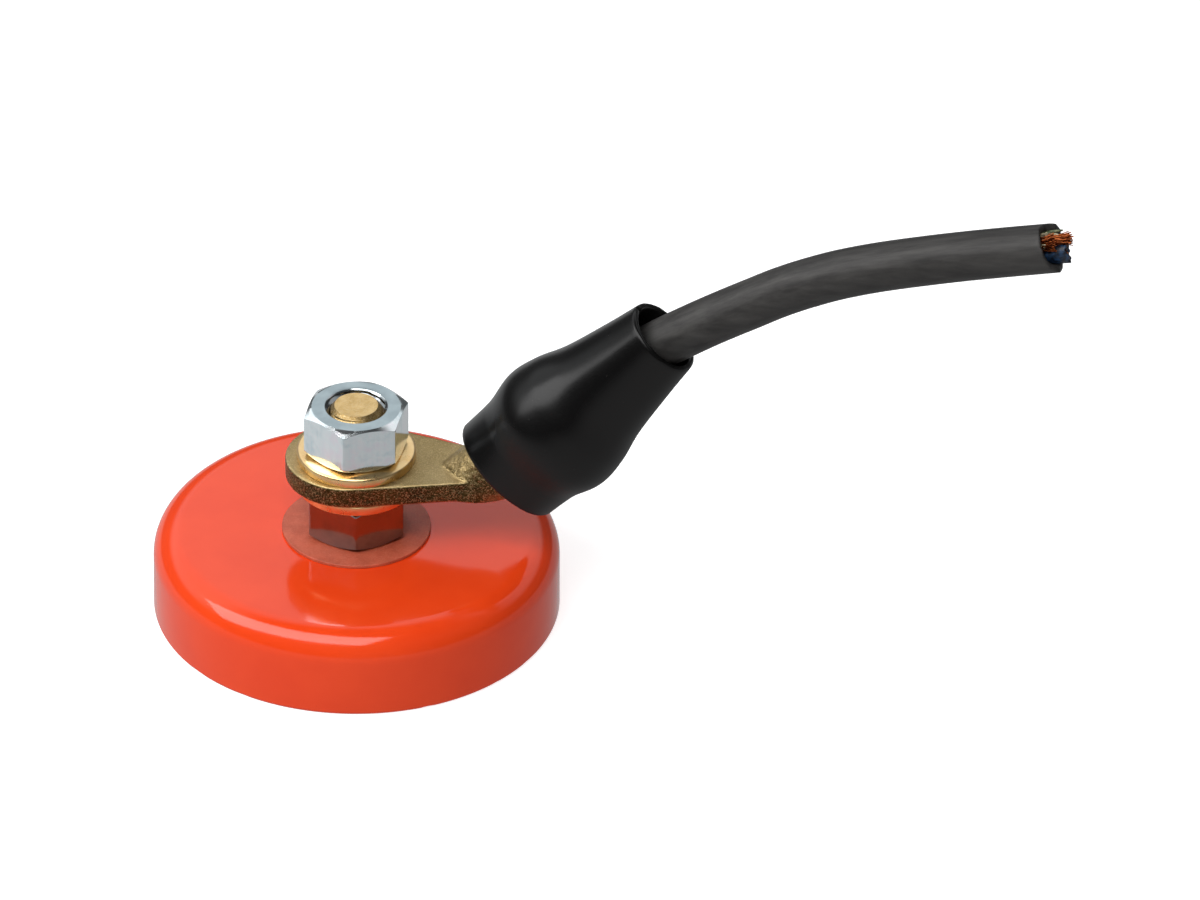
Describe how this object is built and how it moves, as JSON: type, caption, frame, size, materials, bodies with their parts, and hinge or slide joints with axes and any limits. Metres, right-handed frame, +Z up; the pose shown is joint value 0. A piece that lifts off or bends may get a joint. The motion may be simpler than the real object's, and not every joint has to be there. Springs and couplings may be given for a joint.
{
  "type": "ground clamp",
  "caption": "Magnetic welding ground clamp: pot magnet with a brass contact stud, a cast cable lug clamped by a hex nut, a rubber boot and a short cable stub.",
  "frame": {"origin": "centre of the contact face, on the plane that the cup's rim and the contact head share", "axes": "+Z up along the stud, +X along the lug towards the cable's cut end"},
  "size_m": [0.1874, 0.082, 0.1033],
  "materials": {
    "orange_paint": "glossy orange-red paint on drawn steel",
    "ferrite": "matt dark grey sintered ferrite",
    "potting_resin": "brown potting resin, slightly glossy",
    "turned_brass": "machined brass, sawn end face",
    "red_fibre": "matt brick-red vulcanised fibre",
    "sleeve_plastic": "natural nylon",
    "zinc_plate": "bright bluish zinc plate on steel",
    "washer_brass": "stamped brass, lightly tarnished",
    "cast_brass": "rough sand-cast brass",
    "copper": "fine bare copper strands",
    "screw_steel": "plain steel",
    "boot_rubber": "satin black moulded rubber",
    "cable_rubber": "matt charcoal rubber sheath",
    "blue_insulation": "blue core insulation",
    "brown_insulation": "brown core insulation",
    "earth_insulation": "green and yellow core insulation",
    "filler_cotton": "pale cotton filler"
  },
  "bodies": {
    "root": {"pot_shell": "orange_paint", "ring_magnet": "ferrite", "resin_outer_ring": "potting_resin", "resin_inner_ring": "potting_resin", "contact_stud": "turned_brass", "inner_fibre_washer": "red_fibre", "insulating_sleeve": "sleeve_plastic", "outer_fibre_washer": "red_fibre", "lower_nut": "zinc_plate", "lower_washer": "washer_brass"},
    "lug": {"cable_lug": "cast_brass", "conductor_end": "copper", "clamp_screws": "screw_steel", "rubber_boot": "boot_rubber", "cable_jacket": "cable_rubber", "core_blue": "blue_insulation", "core_brown": "brown_insulation", "core_earth": "earth_insulation", "core_strands": "copper", "filler_cord": "filler_cotton"},
    "washer": {"upper_washer": "washer_brass"},
    "nut": {"upper_nut": "zinc_plate"}
  },
  "joints": [
    {"name": "lug_swivel", "type": "hinge", "parent": "root", "child": "lug", "pos_m": [0, 0, 0.033], "axis": [0, 0, 1], "continuous": true},
    {"name": "nut_lift", "type": "slide", "parent": "root", "child": "washer", "axis": [0, 0, 1], "range_m": [0, 0.0105]},
    {"name": "nut_turn", "type": "hinge", "parent": "washer", "child": "nut", "pos_m": [0, 0, 0.0423], "axis": [0, 0, 1], "range_deg": [0, 2160]}
  ],
  "couplings": [
    {"joint": "nut_lift", "follows": "nut_turn", "m_per_rad": 0.00027852}
  ]
}
